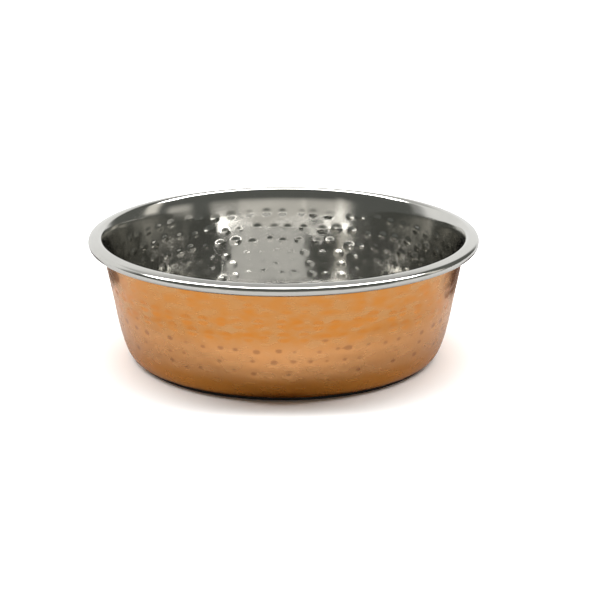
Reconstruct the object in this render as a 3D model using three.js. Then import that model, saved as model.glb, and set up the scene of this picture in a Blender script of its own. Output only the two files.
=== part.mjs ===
// Hammered copper bowl, in three nested pieces: a drawn stainless steel liner whose edge
// turns out into a narrow flange and rolls under, a thin copper shell that fits over the
// liner with its top edge hidden behind the roll, and a rubber ring bonded under the base.
//
// Millimetres, +Z up. The origin is on the bowl's axis, on the surface it stands on.
// The hammering is a surface finish about half a millimetre deep, so the walls are smooth here.

import * as THREE from 'three';

// Overall size
const RIM_RADIUS = 108; // outermost edge of the rolled rim
const METAL_DEPTH = 67.5; // from the rim's crest down to the underside of the copper
const FOOT_HEIGHT = 2; // how far the rubber ring lifts the copper off the floor

// Sheet thicknesses, and the gap kept between pieces that touch
const STEEL_GAUGE = 0.8;
const COPPER_GAUGE = 0.6;
const FIT_GAP = 0.3;

// Outside of the copper: a straight tapering wall that turns in to a flat base
const WALL_TOP_RADIUS = 101.5; // the straight wall carried up to the crest's height
const WALL_TAPER = 0.185; // radius lost for each millimetre of depth
const BEND_DEPTH = 40; // depth at which the wall starts to turn in
const BASE_RADIUS = 84; // radius at which it has turned flat
const BEND_POWER = 2.5; // exponent of the superellipse that makes the turn
const BEND_STEPS = 8;
const FLARE_DEPTH = 9; // above this depth the wall flares out a little more
const FLARE_REACH = 2; // how far the flare would have widened the wall at the crest's height
const FLARE_STEPS = 4;

// Rolled rim: a round shoulder, a flange that slopes down outwards, and a roll whose tail runs
// back in to the copper
const SHOULDER_DEPTH = 2.3; // depth on the outside of the wall at which the shoulder starts
const FLANGE_SLOPE = 15; // degrees below level
const ROLL_RADIUS = 2.65;
const TAIL_REACH = 4.2; // how far the tail would reach in from the middle of the roll
const TAIL_ANGLE = 60; // degrees that the tail runs on past the roll's lowest point
const ROLL_STEPS = 4; // steps in each stretch of the rim

// Copper edge behind the roll, and the rubber ring
const COPPER_EDGE_DEPTH = 4.4;
const RING_OUTER_RADIUS = 83;
const RING_WIDTH = 7;
const RING_EDGE_RADIUS = 0.7;
const RING_EDGE_STEPS = 3;

const TURN_STEPS = 64; // facets around the axis

const CREST_HEIGHT = METAL_DEPTH + FOOT_HEIGHT;

// A point of an outline, as its radius and its depth below the rim's crest
function at(radius, depth) {
  return new THREE.Vector2(radius, depth);
}

// Outer radius of the wall at a depth: a straight taper, and the flare just below the rim
function wallRadius(depth) {
  const flare = Math.max(1 - depth / FLARE_DEPTH, 0) ** 3;
  return WALL_TOP_RADIUS - WALL_TAPER * depth + FLARE_REACH * flare;
}

// Outside of the bowl, from a point high on the wall down and round to the axis
function outerFace(topDepth) {
  const bendDrop = METAL_DEPTH - BEND_DEPTH;
  const bendReach = wallRadius(METAL_DEPTH) - BASE_RADIUS;
  const points = [];
  for (let step = 0; step <= FLARE_STEPS; step += 1) {
    const depth = topDepth + ((FLARE_DEPTH - topDepth) * step) / FLARE_STEPS;
    points.push(at(wallRadius(depth), depth));
  }
  for (let step = 0; step <= BEND_STEPS; step += 1) {
    const angle = (step / BEND_STEPS) * (Math.PI / 2);
    const depth = BEND_DEPTH + bendDrop * Math.sin(angle) ** (2 / BEND_POWER);
    const turnedIn = bendReach * (1 - Math.max(Math.cos(angle), 0) ** (2 / BEND_POWER));
    points.push(at(wallRadius(depth) - turnedIn, depth));
  }
  points.push(at(0, METAL_DEPTH));
  return points;
}

// An outline moved sideways, square to itself: for one that runs down the wall to the
// axis, a positive distance moves it towards the inside of the bowl
function offset(points, distance) {
  const last = points.length - 1;
  return points.map((point, index) => {
    const before = points[Math.max(index - 1, 0)];
    const after = points[Math.min(index + 1, last)];
    const along = after.clone().sub(before).normalize();
    return at(point.x - along.y * distance, point.y + along.x * distance);
  });
}

// Points on part of an ellipse about a centre. The angle, in degrees, is 0 at the
// outermost point and 90 at the top
function arc(centre, semiRadius, semiDepth, fromAngle, toAngle, steps) {
  const points = [];
  for (let step = 0; step <= steps; step += 1) {
    const angle = THREE.MathUtils.degToRad(fromAngle + ((toAngle - fromAngle) * step) / steps);
    points.push(at(centre.x + semiRadius * Math.cos(angle), centre.y - semiDepth * Math.sin(angle)));
  }
  return points;
}

// Visible side of the rim, from the tail's end round the roll, up the flange and over the
// shoulder, which comes down to meet the top of the wall without a kink
function rimFace(wallTop, belowWallTop) {
  const tilt = Math.atan2(wallTop.x - belowWallTop.x, belowWallTop.y - wallTop.y);
  const slope = THREE.MathUtils.degToRad(FLANGE_SLOPE);
  const shoulderRadius = wallTop.y / (1 - Math.sin(tilt));
  const shoulder = at(wallTop.x + shoulderRadius * Math.cos(tilt), shoulderRadius);
  const rollMiddle = RIM_RADIUS - ROLL_RADIUS;
  const flangeRun = rollMiddle - shoulder.x + (ROLL_RADIUS - shoulderRadius) * Math.sin(slope);
  const flangeDrop = flangeRun * Math.tan(slope);
  const roll = at(rollMiddle, shoulderRadius + flangeDrop + (ROLL_RADIUS - shoulderRadius) * Math.cos(slope));
  const flangeAngle = 90 - FLANGE_SLOPE;
  const wallAngle = 180 - THREE.MathUtils.radToDeg(tilt);
  return [
    ...arc(roll, TAIL_REACH, ROLL_RADIUS, -90 - TAIL_ANGLE, -90, ROLL_STEPS),
    ...arc(roll, ROLL_RADIUS, ROLL_RADIUS, -90, 0, ROLL_STEPS).slice(1),
    ...arc(roll, ROLL_RADIUS, ROLL_RADIUS, 0, flangeAngle, ROLL_STEPS).slice(1),
    ...arc(shoulder, shoulderRadius, shoulderRadius, flangeAngle, 90, 1),
    ...arc(shoulder, shoulderRadius, shoulderRadius, 90, wallAngle, ROLL_STEPS).slice(1, -1),
  ];
}

// Turns an outline about the axis into a closed solid standing on the floor
function turned(name, outline, look) {
  const profile = outline.map((point) => new THREE.Vector2(Math.max(point.x, 0), CREST_HEIGHT - point.y));
  const geometry = new THREE.LatheGeometry(profile, TURN_STEPS);
  geometry.rotateX(Math.PI / 2);
  const mesh = new THREE.Mesh(geometry, new THREE.MeshStandardMaterial(look));
  mesh.name = name;
  return mesh;
}

// Stainless steel liner: floor, wall and rolled rim in one constant thickness
function steelLiner() {
  const outside = COPPER_GAUGE + FIT_GAP;
  const inside = outside + STEEL_GAUGE;
  const wall = outerFace(SHOULDER_DEPTH);
  const innerWall = offset(wall, inside);
  const rim = rimFace(innerWall[0], innerWall[1]);
  const outline = [
    ...offset(wall, outside).reverse(),
    ...offset(rim, -STEEL_GAUGE).reverse(),
    ...rim,
    ...innerWall,
  ];
  return turned('steel_liner', outline, { color: 0xb9b8b4, roughness: 0.12, metalness: 1 });
}

// Copper shell: a thin cup over the liner, open at the top
function copperShell() {
  const wall = outerFace(COPPER_EDGE_DEPTH);
  const outline = [...wall.slice().reverse(), ...offset(wall, COPPER_GAUGE)];
  return turned('copper_shell', outline, { color: 0xc98a4b, roughness: 0.28, metalness: 1 });
}

// Rubber ring: a flat band with rounded lower edges, under the copper base
function baseRing() {
  const innerRadius = RING_OUTER_RADIUS - RING_WIDTH;
  const top = METAL_DEPTH + FIT_GAP;
  const edgeDepth = CREST_HEIGHT - RING_EDGE_RADIUS;
  const innerEdge = at(innerRadius + RING_EDGE_RADIUS, edgeDepth);
  const outerEdge = at(RING_OUTER_RADIUS - RING_EDGE_RADIUS, edgeDepth);
  const outline = [
    ...arc(innerEdge, RING_EDGE_RADIUS, RING_EDGE_RADIUS, -180, -90, RING_EDGE_STEPS),
    ...arc(outerEdge, RING_EDGE_RADIUS, RING_EDGE_RADIUS, -90, 0, RING_EDGE_STEPS),
    at(RING_OUTER_RADIUS, top),
    at(innerRadius, top),
  ];
  outline.push(outline[0].clone());
  return turned('base_ring', outline, { color: 0x141414, roughness: 0.85, metalness: 0 });
}

const bowl = new THREE.Group();
bowl.add(steelLiner(), copperShell(), baseRing());

export default bowl;
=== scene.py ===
"""Hammered copper bowl: the looks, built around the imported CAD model. Metres, +Z up."""

import math

import bpy
import numpy as np
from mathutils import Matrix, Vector


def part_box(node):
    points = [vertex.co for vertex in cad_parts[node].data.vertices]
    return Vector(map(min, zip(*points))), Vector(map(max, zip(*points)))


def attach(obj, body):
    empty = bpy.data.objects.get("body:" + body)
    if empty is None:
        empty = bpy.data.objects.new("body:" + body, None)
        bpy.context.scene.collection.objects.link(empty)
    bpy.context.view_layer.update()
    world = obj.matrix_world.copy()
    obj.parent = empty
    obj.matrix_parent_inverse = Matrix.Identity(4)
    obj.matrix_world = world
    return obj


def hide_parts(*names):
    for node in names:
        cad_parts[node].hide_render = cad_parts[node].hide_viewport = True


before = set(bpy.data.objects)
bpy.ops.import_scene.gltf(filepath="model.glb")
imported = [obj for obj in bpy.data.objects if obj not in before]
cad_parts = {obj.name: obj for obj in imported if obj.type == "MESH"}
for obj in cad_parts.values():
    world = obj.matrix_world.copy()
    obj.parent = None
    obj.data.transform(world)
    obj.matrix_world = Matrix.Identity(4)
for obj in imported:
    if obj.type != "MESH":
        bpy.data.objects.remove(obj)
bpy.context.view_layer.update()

# Sizes that come from the CAD model
LINER_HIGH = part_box("steel_liner")[1]
COPPER_LOW, COPPER_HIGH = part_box("copper_shell")
RING_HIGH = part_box("base_ring")[1]
RIM_RADIUS = LINER_HIGH.x
CREST_HEIGHT = LINER_HIGH.z
METAL_DEPTH = CREST_HEIGHT - COPPER_LOW.z
COPPER_EDGE_DEPTH = CREST_HEIGHT - COPPER_HIGH.z
RING_OUTER_RADIUS = RING_HIGH.x
RING_INSET = 0.001
BASE_RADIUS = RING_OUTER_RADIUS + RING_INSET

# The rest of the outline, as in the CAD model
STEEL_GAUGE = 0.0008
COPPER_GAUGE = 0.0006
FIT_GAP = 0.0003
WALL_TOP_RADIUS = 0.1015
WALL_TAPER = 0.185
BEND_DEPTH = 0.040
BEND_POWER = 2.5
FLARE_DEPTH = 0.009
FLARE_REACH = 0.002
SHOULDER_DEPTH = 0.0023
FLANGE_SLOPE = 15
ROLL_RADIUS = 0.00265
TAIL_REACH = 0.0042
TAIL_ANGLE = 60
RING_WIDTH = 0.007
RING_EDGE_RADIUS = 0.0007
RING_GAP = 0.00005  # between the copper and the ring; thinner than the CAD's, so as not to show

# Hammering: rows of marks that close up towards the base. A pair is a lowest and a highest value
FIRST_ROW_DEPTH = 0.0150
ROW_PITCH = 0.0086
ROW_PITCH_SHRINK = 0.92
ROW_STRENGTHS = (0.6, 1.0, 1.0, 0.65, 0.55, 0.55)
MARKS_PER_ROW = 60
MARK_HALF_WIDTH = 0.0034
MARK_HALF_HEIGHT = 0.0024
MARK_DEPTH = 0.00026
MARK_EDGE = 1.25  # exponent of a mark's outline in depth: higher is more pointed
MARK_DRIFT_UP = 0.0006
MARK_DRIFT_AROUND = 0.11  # as a share of the distance between two marks
MARK_SIZES = (0.8, 1.15)
MARK_STRENGTHS = (0.65, 1.2)
COPPER_MARK_SPREAD = 1.2
COPPER_MARK_SHARE = 0.7
LOWER_ROWS_DEPTH = 0.036  # below this depth the marks get painted shade in their hollows, above it painted shade on their slopes
ROW_BLEND = 0.004  # distance over which one look gives way to the other
FULL_SHADE_SLOPE = 0.08  # slope of a dent that gets the full painted shade
PIT_SHADE_POWER = 3
WAVE_DEPTH = 0.00006
WAVE_COUNT = 10
WAVE_TURNS = (9, 30)  # waves around the bowl
WAVE_LENGTHS = (0.012, 0.040)
WAVES_FROM = 0.007  # depth at which the waves start, and over which distance they come in
WAVES_GROW = 0.012

# Mesh fineness
SIDES = 720
AROUND = np.arange(SIDES) * 2 * math.pi / SIDES
DRAWN_STRAIGHT = 60
DRAWN_BEND = 240
FINE_STEP = 0.0008
PLAIN_STEP = 0.0015
HIDDEN_STEP = 0.010
FLOOR_STEP = 0.020
RIM_STEPS = 8
RING_EDGE_STEPS = 5
SHARP_ANGLE = 50
HAMMERED_FROM = 0.011
HAMMERED_TO = 0.057

# Camera, placed from the middle of the rim
CAMERA_DISTANCE = 0.987
CAMERA_ELEVATION = 14.96
CAMERA_LENS = 106.7
AIM_RIGHT = 0.0089
AIM_DOWN = 0.0385

# Studio light, in degrees: side (0 is behind the camera, 90 is to its right), half width and
# softness, then lowest and highest elevation and softness, then brightness and colour
NEUTRAL = (1.0, 1.0, 1.0)
WARM = (1.0, 0.96, 0.88)
DIM_COLOUR = (0.125, 0.13, 0.12)
PANELS = (
    ((-160, 52, 8), (-10, 37, 5), 0.85, NEUTRAL),
    ((-160, 52, 8), (37, 73, 5), 0.45, NEUTRAL),
    ((8, 23, 2.5), (-10, 11, 9), 0.68, WARM),
    ((-30, 16, 4), (-10, 11, 9), 0.58, WARM),
    ((41, 9, 3), (-10, 11, 9), 0.33, WARM),
    ((-39, 2.5, 1.5), (-10, 18, 8), 0.30, WARM),
    ((74, 9, 4), (-10, 12, 8), 0.45, WARM),
    ((98, 6, 3), (5, 48, 3), 0.80, WARM),
    ((-104, 8, 3), (5, 48, 3), 0.25, NEUTRAL),
)

# Strip light overhead, which runs from side to side and stands a little behind the bowl, in degrees
STRIP_BEHIND = 4
STRIP_HALF_LENGTH = 55
STRIP_HALF_WIDTH = 10
STRIP_SOFT = 4
STRIP_BRIGHTNESS = 12.0

FLOOR_HALF_SIDE = 6.0
FLOOR_SEEN = 0.95
FLOOR_REFLECTED = 0.40
BACKDROP = (1.0, 1.0, 1.0, 1.0)

# Dark cards beside and behind the bowl: the back end, the front end and the height of each. The
# fades are shares of the way from the front end to the back end
CARD_COLOUR = (0.050, 0.018, 0.009)
CARD_FRONT_FADE = (0.0, 0.22)
CARD_BACK_FADE = (0.25, 0.75)
CARDS = (
    ((-0.098, 0.197), (-0.180, 0.020), 0.036),
    ((0.086, 0.180), (0.170, 0.010), 0.036),
)

rng = np.random.default_rng(11)


def colour(*rgb):
    return (*rgb, 1.0)


STEEL_DARK = colour(0.56, 0.555, 0.53)
STEEL_LIGHT = colour(0.70, 0.685, 0.65)
COPPER_RED = colour(0.73, 0.280, 0.052)
COPPER_PALE = colour(0.69, 0.350, 0.130)
COPPER_MIDDLE = colour(0.70, 0.305, 0.082)
# Painted light: a paler, pinker band low on the wall, made lighter to offset the shaded floor it reflects
COPPER_BAND_LIGHT = colour(0.83, 0.405, 0.160)
# Painted light: the copper made brighter at the foot to offset the shaded floor it reflects
COPPER_FOOT_LIGHT = colour(0.92, 0.365, 0.052)
# Painted shade: a redder colour on the slopes of the upper marks
COPPER_SLOPE_SHADE = colour(0.78, 0.255, 0.026)
# Painted shade: a dark colour in the hollows of the lower marks
COPPER_PIT_SHADE = colour(0.36, 0.145, 0.065)
RUBBER_CLEAN = colour(0.012, 0.012, 0.012)
RUBBER_DUSTY = colour(0.030, 0.029, 0.028)

# Heights over which the copper's pale band, painted lighter to offset the shaded floor it reflects, comes
# in and goes out, and over which the painted light on its foot fades
BAND_LIGHT_FROM = (0.009, 0.016)
BAND_LIGHT_TO = (0.028, 0.040)
FOOT_LIGHT_FADE = (0.005, 0.018)


# ---------------------------------------------------------------- outlines
# An outline is an array of rows: radius, depth below the rim's crest.


def wall_radius(depth):
    """Outer radius of the wall: a straight taper, and the flare just below the rim."""
    flare = np.clip(1 - depth / FLARE_DEPTH, 0, None) ** 3
    return WALL_TOP_RADIUS - WALL_TAPER * depth + FLARE_REACH * flare


def outer_face(top_depth):
    """Outside of the copper from high on the wall to where the base is flat, finely drawn."""
    straight = np.linspace(top_depth, BEND_DEPTH, DRAWN_STRAIGHT, endpoint=False)
    angle = np.linspace(0, math.pi / 2, DRAWN_BEND)
    bend_drop = METAL_DEPTH - BEND_DEPTH
    bend_reach = wall_radius(METAL_DEPTH) - BASE_RADIUS
    bend = BEND_DEPTH + bend_drop * np.sin(angle) ** (2 / BEND_POWER)
    turned_in = bend_reach * (1 - np.clip(np.cos(angle), 0, 1) ** (2 / BEND_POWER))
    depth = np.concatenate([straight, bend])
    radius = wall_radius(depth)
    radius[len(straight):] -= turned_in
    return np.column_stack([radius, depth])


def lengths(points):
    """Distance along an outline to each of its points."""
    steps = np.hypot(*np.diff(points, axis=0).T)
    return np.concatenate([[0], np.cumsum(steps)])


def respaced(points, step):
    """The outline again, with its points a step apart. The step may differ from point to point."""
    gaps = np.diff(lengths(points)) / np.broadcast_to(step, len(points))[1:]
    count = np.concatenate([[0], np.cumsum(gaps)])
    even = np.linspace(0, count[-1], max(2, round(count[-1])) + 1)
    return np.column_stack([np.interp(even, count, points[:, 0]), np.interp(even, count, points[:, 1])])


def closely_spaced(points):
    """The outline with its points close together where the wall is hammered."""
    marked = (points[:, 1] > HAMMERED_FROM) & (points[:, 1] < HAMMERED_TO)
    return respaced(points, np.where(marked, FINE_STEP, PLAIN_STEP))


def inward(points):
    """Unit vectors square to an outline. They point into the bowl where it runs down the wall."""
    along = np.gradient(points, axis=0)
    along /= np.hypot(along[:, 0], along[:, 1])[:, None]
    return np.column_stack([-along[:, 1], along[:, 0]])


def offset(points, distance):
    """The outline moved sideways by a distance."""
    return points + inward(points) * distance


def arc(centre, semi_radius, semi_depth, from_angle, to_angle, steps):
    """Part of an ellipse. The angle, in degrees, is 0 at the outermost point and 90 at the top."""
    angle = np.radians(np.linspace(from_angle, to_angle, steps + 1))
    return np.column_stack([
        centre[0] + semi_radius * np.cos(angle),
        centre[1] - semi_depth * np.sin(angle),
    ])


def rim_face(wall_top, below_wall_top, steps):
    """Visible side of the rim: from the tail round the roll, up the flange and over the shoulder."""
    tilt = math.atan2(wall_top[0] - below_wall_top[0], below_wall_top[1] - wall_top[1])
    slope = math.radians(FLANGE_SLOPE)
    shoulder_radius = wall_top[1] / (1 - math.sin(tilt))
    shoulder = (wall_top[0] + shoulder_radius * math.cos(tilt), shoulder_radius)
    roll_middle = RIM_RADIUS - ROLL_RADIUS
    extra = ROLL_RADIUS - shoulder_radius
    flange_run = roll_middle - shoulder[0] + extra * math.sin(slope)
    roll = (roll_middle, shoulder_radius + flange_run * math.tan(slope) + extra * math.cos(slope))
    flange_angle = 90 - FLANGE_SLOPE
    wall_angle = 180 - math.degrees(tilt)
    return np.concatenate([
        arc(roll, TAIL_REACH, ROLL_RADIUS, -90 - TAIL_ANGLE, -90, steps),
        arc(roll, ROLL_RADIUS, ROLL_RADIUS, -90, flange_angle, 2 * steps)[1:],
        arc(shoulder, shoulder_radius, shoulder_radius, flange_angle, wall_angle, steps)[:-1],
    ])


# ---------------------------------------------------------------- hammering
# Places on the wall are distances along it, measured from its lower end.


def from_base(face):
    """Distance of each point of a face from its lower end."""
    along = lengths(face)
    return along[-1] - along


def hammer_marks():
    """Each mark's distance from the base, its angle around the bowl, its size and its depth."""
    face = outer_face(SHOULDER_DEPTH)
    marks = []
    row_depth = FIRST_ROW_DEPTH
    pitch = ROW_PITCH
    for strength in ROW_STRENGTHS:
        place = np.interp(row_depth, face[:, 1], from_base(face))
        phase = rng.uniform(0, 1)
        for number in range(MARKS_PER_ROW):
            up = place + rng.normal(0, MARK_DRIFT_UP)
            turns = (number + phase + rng.normal(0, MARK_DRIFT_AROUND)) / MARKS_PER_ROW
            size = rng.uniform(*MARK_SIZES)
            depth = MARK_DEPTH * strength * rng.uniform(*MARK_STRENGTHS)
            marks.append((up, turns * 2 * math.pi, size, depth))
        row_depth += pitch
        pitch *= ROW_PITCH_SHRINK
    return marks


def sheet_waves():
    """Slow waves of the sheet between the marks: turns, waves per metre and two phases."""
    return [
        (rng.integers(*WAVE_TURNS), 1 / rng.uniform(*WAVE_LENGTHS), *rng.uniform(0, 2 * math.pi, 2))
        for _ in range(WAVE_COUNT)
    ]


def hammered(face, marks, spread=1.0):
    """How far each mark drives the sheet in at each point of a face."""
    up = from_base(face)
    driven = np.zeros((len(face), SIDES))
    for place, angle, size, depth in marks:
        half_height = MARK_HALF_HEIGHT * size * spread
        half_width = MARK_HALF_WIDTH * size * spread
        near = np.abs(up - place) < half_height
        turn = (AROUND - angle + math.pi) % (2 * math.pi) - math.pi
        across = face[near, 0][:, None] * turn / half_width
        above = (up[near][:, None] - place) / half_height
        driven[near] += depth * np.clip(1 - across**2 - above**2, 0, None) ** MARK_EDGE
    return driven


def wavy(face, waves):
    """How far the waves of the sheet stand in at each point of a face. They fade out at the rim."""
    up = from_base(face)[:, None]
    total = sum(
        np.sin(turns * AROUND + phase) * np.sin(2 * math.pi * rate * up + other_phase)
        for turns, rate, phase, other_phase in waves
    )
    fade = np.clip((face[:, 1:] - WAVES_FROM) / WAVES_GROW, 0, 1)
    return WAVE_DEPTH * fade * total / math.sqrt(WAVE_COUNT)


# ---------------------------------------------------------------- meshes


def placed(name, data):
    """A new object in the scene."""
    thing = bpy.data.objects.new(name, data)
    bpy.context.scene.collection.objects.link(thing)
    return thing


def ring_rows(points, push=None):
    """Rows of an outline as radius and height around the axis, pushed in where it is hammered."""
    normals = inward(points)
    push = np.zeros((len(points), SIDES)) if push is None else push
    return [
        (radius + normal[0] * amount, CREST_HEIGHT - depth - normal[1] * amount)
        for (radius, depth), normal, amount in zip(points, normals, push)
    ]


def disc_rows(depth):
    """Rows of the flat floor, from near the axis almost out to where the wall starts."""
    radii = np.arange(FLOOR_STEP, BASE_RADIUS - FLOOR_STEP / 4, FLOOR_STEP)
    return [(np.full(SIDES, radius), CREST_HEIGHT - depth) for radius in radii]


def turned(name, rows, closed=False):
    """A mesh from rows of radius and height. Unless it is closed it ends on the axis."""
    points = np.concatenate([
        np.column_stack([radius * np.cos(AROUND), radius * np.sin(AROUND), np.broadcast_to(height, SIDES)])
        for radius, height in rows
    ]).tolist()
    column = np.arange(SIDES)
    after = (column + 1) % SIDES
    faces = []
    for low in range(len(rows) - (0 if closed else 1)):
        high = (low + 1) % len(rows)
        faces.append(np.column_stack([
            low * SIDES + column, low * SIDES + after, high * SIDES + after, high * SIDES + column,
        ]))
    faces = np.concatenate(faces).tolist()
    if not closed:
        last = (len(rows) - 1) * SIDES
        for row, here, there in ((0, after, column), (-1, last + column, last + after)):
            faces += [(a, b, len(points)) for a, b in zip(here.tolist(), there.tolist())]
            points.append((0, 0, float(np.mean(rows[row][1]))))
    mesh = bpy.data.meshes.new(name)
    mesh.from_pydata(points, [], faces)
    mesh.validate()
    mesh.shade_smooth()
    mesh.set_sharp_from_angle(angle=math.radians(SHARP_ANGLE))
    return placed(name, mesh)


def steel_liner(marks, waves):
    """Floor, wall and rolled rim in one sheet, with the marks standing up on the inside."""
    outside = COPPER_GAUGE + FIT_GAP
    inside = outside + STEEL_GAUGE
    wall = closely_spaced(outer_face(SHOULDER_DEPTH))
    hidden = respaced(outer_face(SHOULDER_DEPTH), HIDDEN_STEP)
    face = offset(wall, inside)
    rim = rim_face(face[0], face[1], RIM_STEPS)
    hidden_rim = rim_face(face[0], face[1], RIM_STEPS // 2)
    rows = disc_rows(METAL_DEPTH - outside)
    rows += ring_rows(offset(hidden, outside)[::-1])
    rows += ring_rows(offset(hidden_rim, -STEEL_GAUGE)[::-1])
    rows += ring_rows(rim)
    rows += ring_rows(face, hammered(wall, marks) + wavy(wall, waves))
    rows += disc_rows(METAL_DEPTH - inside)[::-1]
    return turned("liner", rows)


def copper_shell(marks, waves):
    """A thin cup over the liner, which also carries where its dents get painted shade: on the slopes of
    the upper marks and in the hollows of the lower ones.
    """
    wall = closely_spaced(outer_face(COPPER_EDGE_DEPTH))
    hidden = respaced(outer_face(COPPER_EDGE_DEPTH), HIDDEN_STEP)
    dents = hammered(wall, marks, COPPER_MARK_SPREAD) * COPPER_MARK_SHARE
    rows = disc_rows(METAL_DEPTH)
    wall_start = len(rows) * SIDES
    rows += ring_rows(wall, dents + wavy(wall, waves))[::-1]
    rows += ring_rows(offset(hidden, COPPER_GAUGE))
    rows += disc_rows(METAL_DEPTH - COPPER_GAUGE)[::-1]
    piece = turned("shell", rows)
    upper = np.clip((LOWER_ROWS_DEPTH - wall[:, 1:]) / ROW_BLEND, 0, 1)
    # Painted shade on the slopes of the upper marks, by how steep the dent is
    slope_shade = np.abs(np.gradient(dents, axis=0)) / FINE_STEP / FULL_SHADE_SLOPE
    # Painted shade in the hollows of the lower marks, strongest where a dent is deepest
    pit_shade = (dents / COPPER_MARK_SHARE / (MARK_DEPTH * ROW_STRENGTHS[-1])) ** PIT_SHADE_POWER
    for name, amount in (("slope_shade", slope_shade * upper), ("pit_shade", pit_shade * (1 - upper))):
        values = np.zeros(len(piece.data.vertices))
        values[wall_start:wall_start + dents.size] = np.clip(amount, 0, 1)[::-1].ravel()
        piece.data.attributes.new(name, "FLOAT", "POINT").data.foreach_set("value", values)
    return piece


def base_ring():
    """A flat band with rounded lower edges."""
    inner = RING_OUTER_RADIUS - RING_WIDTH
    low = CREST_HEIGHT - RING_EDGE_RADIUS
    top = METAL_DEPTH + RING_GAP
    inner_edge = (inner + RING_EDGE_RADIUS, low)
    outer_edge = (RING_OUTER_RADIUS - RING_EDGE_RADIUS, low)
    outline = np.concatenate([
        arc(inner_edge, RING_EDGE_RADIUS, RING_EDGE_RADIUS, 180, 270, RING_EDGE_STEPS),
        arc(outer_edge, RING_EDGE_RADIUS, RING_EDGE_RADIUS, -90, 0, RING_EDGE_STEPS),
        [(RING_OUTER_RADIUS, top), (inner, top)],
    ])
    rows = [(np.full(SIDES, radius), CREST_HEIGHT - depth) for radius, depth in outline]
    return turned("foot_ring", rows, closed=True)


# ---------------------------------------------------------------- materials


class Nodes:
    """A node tree with short ways to add and join its nodes."""

    def __init__(self, tree):
        self.tree = tree

    def add(self, kind, **settings):
        node = self.tree.nodes.new(kind)
        for name, value in settings.items():
            setattr(node, name, value)
        return node

    def plug(self, value, socket):
        """Joins an output to a socket, or sets the socket to a constant."""
        if isinstance(value, bpy.types.NodeSocket):
            self.tree.links.new(value, socket)
        else:
            socket.default_value = value

    def split(self, vector):
        """The X, Y and Z of a vector."""
        node = self.add("ShaderNodeSeparateXYZ")
        self.plug(vector, node.inputs[0])
        return node.outputs

    def math(self, operation, *values):
        node = self.add("ShaderNodeMath", operation=operation)
        for value, socket in zip(values, node.inputs):
            self.plug(value, socket)
        return node.outputs[0]

    def vector_math(self, operation, a, b=None, scale=None):
        node = self.add("ShaderNodeVectorMath", operation=operation)
        self.plug(a, node.inputs[0])
        if b is not None:
            self.plug(b, node.inputs[1])
        if scale is not None:
            self.plug(scale, node.inputs["Scale"])
        return node.outputs[0]

    def smooth(self, value, start, end, low=0.0, high=1.0):
        """A smooth step from low to high as the value goes from start to end."""
        node = self.add("ShaderNodeMapRange", interpolation_type="SMOOTHSTEP")
        for socket, number in zip(("Value", "From Min", "From Max", "To Min", "To Max"),
                                  (value, start, end, low, high)):
            self.plug(number, node.inputs[socket])
        return node.outputs["Result"]

    def noise(self, where, scale, detail=2.0, roughness=0.5):
        node = self.add("ShaderNodeTexNoise")
        for socket, value in (("Vector", where), ("Scale", scale), ("Detail", detail),
                              ("Roughness", roughness)):
            self.plug(value, node.inputs[socket])
        return node.outputs["Fac"]

    def mix(self, share, a, b):
        node = self.add("ShaderNodeMix", data_type="RGBA")
        self.plug(share, node.inputs["Factor"])
        self.plug(a, node.inputs["A"])
        self.plug(b, node.inputs["B"])
        return node.outputs["Result"]

    def bump(self, height, distance, normal=None):
        node = self.add("ShaderNodeBump")
        node.inputs["Distance"].default_value = distance
        self.plug(height, node.inputs["Height"])
        if normal is not None:
            self.plug(normal, node.inputs["Normal"])
        return node.outputs["Normal"]


def shader(name, **constants):
    """A new material's nodes and its Principled shader, with the constant sockets set."""
    material = bpy.data.materials.new(name)
    material.use_nodes = True
    nodes = Nodes(material.node_tree)
    principled = material.node_tree.nodes["Principled BSDF"]
    for socket, value in constants.items():
        principled.inputs[socket.replace("_", " ")].default_value = value
    return material, nodes, principled


def turned_places(nodes, around_scale, up_scale):
    """Coordinates that follow the bowl round, so that a noise can be drawn out along it."""
    where = nodes.add("ShaderNodeTexCoord").outputs["Object"]
    flat = nodes.vector_math("NORMALIZE", nodes.vector_math("MULTIPLY", where, (1, 1, 0)))
    spread = nodes.vector_math("SCALE", flat, scale=around_scale)
    rise = nodes.vector_math("MULTIPLY", where, (0, 0, up_scale))
    return nodes.vector_math("ADD", spread, rise)


def polished_steel():
    """Stainless steel, buffed round the bowl, with faint smears and lines."""
    material, nodes, principled = shader("polished_steel", Metallic=1.0)
    where = nodes.add("ShaderNodeTexCoord").outputs["Object"]
    smears = nodes.noise(where, 38, 4, 0.6)
    lines = nodes.noise(turned_places(nodes, 3.0, 2600), 1.0, 3, 0.7)
    grain = nodes.noise(where, 420, 3, 0.6)
    tint = nodes.mix(smears, STEEL_DARK, STEEL_LIGHT)
    nodes.plug(tint, principled.inputs["Base Color"])
    rough = nodes.math("ADD", nodes.smooth(smears, 0.35, 0.70, 0.045, 0.125),
                       nodes.math("MULTIPLY", lines, 0.045))
    nodes.plug(rough, principled.inputs["Roughness"])
    fine = nodes.bump(lines, 0.0000025)
    nodes.plug(nodes.bump(grain, 0.000006, fine), principled.inputs["Normal"])
    return material


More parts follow.
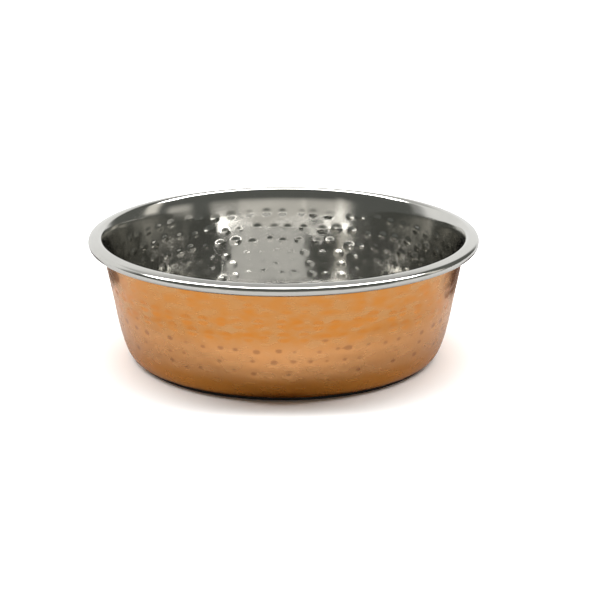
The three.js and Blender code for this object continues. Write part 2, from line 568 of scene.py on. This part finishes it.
def hammered_copper():
    """Satin copper: mottled, with redder painted shade on the slopes of the upper marks, darker painted
    shade in the hollows of the lower ones, and painted light on a pale band low on the wall and on the
    foot, to offset the shaded floor they reflect.
    """
    material, nodes, principled = shader(
        "hammered_copper", Metallic=1.0, Coat_Weight=0.25, Coat_Roughness=0.35)
    where = nodes.add("ShaderNodeTexCoord").outputs["Object"]
    height = nodes.split(where)["Z"]
    slope_shade = nodes.add("ShaderNodeAttribute", attribute_name="slope_shade").outputs["Fac"]
    pit_shade = nodes.add("ShaderNodeAttribute", attribute_name="pit_shade").outputs["Fac"]
    patches = nodes.noise(turned_places(nodes, 10.0, 210), 1.0, 1, 0.4)
    clouds = nodes.noise(turned_places(nodes, 4.0, 60), 1.0, 2, 0.5)
    lines = nodes.noise(turned_places(nodes, 4.0, 2300), 1.0, 3, 0.7)
    grain = nodes.noise(where, 700, 2, 0.6)
    body = nodes.mix(nodes.smooth(patches, 0.30, 0.70), COPPER_RED, COPPER_PALE)
    body = nodes.mix(nodes.smooth(clouds, 0.35, 0.70, 0.0, 0.5), body, COPPER_MIDDLE)
    # Painted light: the pale band low on the wall, made lighter to offset the shaded floor it reflects
    band_light = nodes.math("MULTIPLY", nodes.smooth(height, *BAND_LIGHT_FROM),
                      nodes.smooth(height, *BAND_LIGHT_TO, 0.8, 0.0))
    body = nodes.mix(band_light, body, COPPER_BAND_LIGHT)
    # Painted light: brighter foot, offsetting the shaded floor the lower bend reflects
    body = nodes.mix(nodes.smooth(height, *FOOT_LIGHT_FADE, 1.0, 0.0), body, COPPER_FOOT_LIGHT)
    # Painted shade: redder on the slopes of the upper marks
    body = nodes.mix(nodes.smooth(slope_shade, 0.15, 0.8, 0.0, 0.55), body, COPPER_SLOPE_SHADE)
    # Painted shade: darker in the hollows of the lower marks
    body = nodes.mix(nodes.smooth(pit_shade, 0.4, 1.1, 0.0, 0.6), body, COPPER_PIT_SHADE)
    nodes.plug(body, principled.inputs["Base Color"])
    rough = nodes.math("ADD", nodes.smooth(patches, 0.3, 0.7, 0.18, 0.26),
                       nodes.math("MULTIPLY", lines, 0.06))
    nodes.plug(rough, principled.inputs["Roughness"])
    fine = nodes.bump(lines, 0.000004)
    nodes.plug(nodes.bump(grain, 0.0000015, fine), principled.inputs["Normal"])
    return material


def black_rubber():
    """Matt moulded rubber, a little dusty and finely pitted."""
    material, nodes, principled = shader("black_rubber")
    where = nodes.add("ShaderNodeTexCoord").outputs["Object"]
    dust = nodes.noise(where, 90, 4, 0.6)
    pits = nodes.noise(where, 1400, 2, 0.5)
    body = nodes.mix(nodes.smooth(dust, 0.4, 0.8), RUBBER_CLEAN, RUBBER_DUSTY)
    nodes.plug(body, principled.inputs["Base Color"])
    nodes.plug(nodes.smooth(dust, 0.3, 0.8, 0.62, 0.82), principled.inputs["Roughness"])
    nodes.plug(nodes.bump(pits, 0.00006), principled.inputs["Normal"])
    return material


# ---------------------------------------------------------------- stage


def studio_world():
    """A strip light and soft panels on a dim surround. The camera sees a white backdrop instead."""
    world = bpy.data.worlds.new("studio")
    bpy.context.scene.world = world
    world.use_nodes = True
    nodes = Nodes(world.node_tree)
    direction = nodes.split(nodes.add("ShaderNodeTexCoord").outputs["Generated"])
    toward_camera = nodes.math("MULTIPLY", direction["Y"], -1.0)
    azimuth = nodes.math("DEGREES", nodes.math("ARCTAN2", direction["X"], toward_camera))
    elevation = nodes.math("DEGREES", nodes.math("ARCSINE", direction["Z"]))

    def within(value, low, high, soft):
        rise = nodes.smooth(value, low - soft, low + soft)
        fall = nodes.smooth(value, high - soft, high + soft, 1.0, 0.0)
        return nodes.math("MULTIPLY", rise, fall)

    along = nodes.math("DEGREES", nodes.math("ARCTAN2", direction["X"], direction["Z"]))
    across = nodes.math("DEGREES", nodes.math("ARCTAN2", direction["Y"], direction["Z"]))
    lit = nodes.math("MULTIPLY", within(along, -STRIP_HALF_LENGTH, STRIP_HALF_LENGTH, STRIP_SOFT),
                     within(nodes.math("SUBTRACT", across, STRIP_BEHIND),
                            -STRIP_HALF_WIDTH, STRIP_HALF_WIDTH, STRIP_SOFT))
    strip = nodes.vector_math("SCALE", NEUTRAL, scale=nodes.math("MULTIPLY", lit, STRIP_BRIGHTNESS))
    light = nodes.vector_math("ADD", DIM_COLOUR, strip)
    for (side, half_width, side_soft), (low, high, soft), brightness, tint in PANELS:
        turned_by = nodes.math("WRAP", nodes.math("SUBTRACT", azimuth, side), 180.0, -180.0)
        lit = nodes.math("MULTIPLY", within(turned_by, -half_width, half_width, side_soft),
                         within(elevation, low, high, soft))
        panel = nodes.vector_math("SCALE", tint, scale=nodes.math("MULTIPLY", lit, brightness))
        light = nodes.vector_math("ADD", light, panel)
    seen = nodes.add("ShaderNodeLightPath").outputs["Is Camera Ray"]
    background = world.node_tree.nodes["Background"]
    nodes.plug(nodes.mix(seen, light, BACKDROP), background.inputs["Color"])


def pale_floor():
    """White to look at, but the metal sees it as the mid grey of a real studio table."""
    material, nodes, principled = shader("pale_floor", Roughness=0.9)
    seen = nodes.add("ShaderNodeLightPath").outputs["Is Camera Ray"]
    tone = nodes.mix(seen, colour(*[FLOOR_REFLECTED] * 3), colour(*[FLOOR_SEEN] * 3))
    nodes.plug(tone, principled.inputs["Base Color"])
    mesh = bpy.data.meshes.new("floor")
    side = FLOOR_HALF_SIDE
    corners = [(-side, -side, 0), (side, -side, 0), (side, side, 0), (-side, side, 0)]
    mesh.from_pydata(corners, [], [(0, 1, 2, 3)])
    mesh.materials.append(material)
    placed("floor", mesh)


def dark_cards():
    """Dark cards, seen only in the metal. They fade out at both ends."""
    material, nodes, principled = shader("dark_card", Base_Color=colour(*CARD_COLOUR), Roughness=1.0)
    back = nodes.split(nodes.add("ShaderNodeTexCoord").outputs["Generated"])["Y"]
    alpha = nodes.math("MULTIPLY", nodes.smooth(back, *CARD_FRONT_FADE),
                       nodes.smooth(back, *CARD_BACK_FADE, 1.0, 0.0))
    nodes.plug(alpha, principled.inputs["Alpha"])
    for start, end, height in CARDS:
        mesh = bpy.data.meshes.new("dark_card")
        mesh.from_pydata([(*start, 0), (*end, 0), (*end, height), (*start, height)], [], [(0, 1, 2, 3)])
        mesh.materials.append(material)
        card = placed("dark_card", mesh)
        card.visible_camera = False
        card.visible_diffuse = False
        card.visible_shadow = False


def camera():
    data = bpy.data.cameras.new("camera")
    data.sensor_width = 36
    data.lens = CAMERA_LENS
    data.clip_start = 0.01
    data.clip_end = 50
    eye = placed("camera", data)
    tilt = math.radians(CAMERA_ELEVATION)
    rim_centre = Vector((0, 0, CREST_HEIGHT))
    back = Vector((0, -math.cos(tilt), math.sin(tilt)))
    up = Vector((0, math.sin(tilt), math.cos(tilt)))
    aim = rim_centre + Vector((AIM_RIGHT, 0, 0)) - up * AIM_DOWN
    eye.location = rim_centre + back * CAMERA_DISTANCE
    eye.rotation_euler = (aim - eye.location).to_track_quat("-Z", "Y").to_euler()
    bpy.context.scene.camera = eye


def finished(piece, node, material):
    """Gives a piece its material, hangs it on the root body and hides the CAD node it stands for."""
    piece.data.materials.append(material)
    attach(piece, "root")
    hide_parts(node)


marks = hammer_marks()
waves = sheet_waves()
finished(steel_liner(marks, waves), "steel_liner", polished_steel())
finished(copper_shell(marks, waves), "copper_shell", hammered_copper())
finished(base_ring(), "base_ring", black_rubber())

studio_world()
pale_floor()
dark_cards()
camera()
bpy.context.scene.view_settings.view_transform = "Standard"
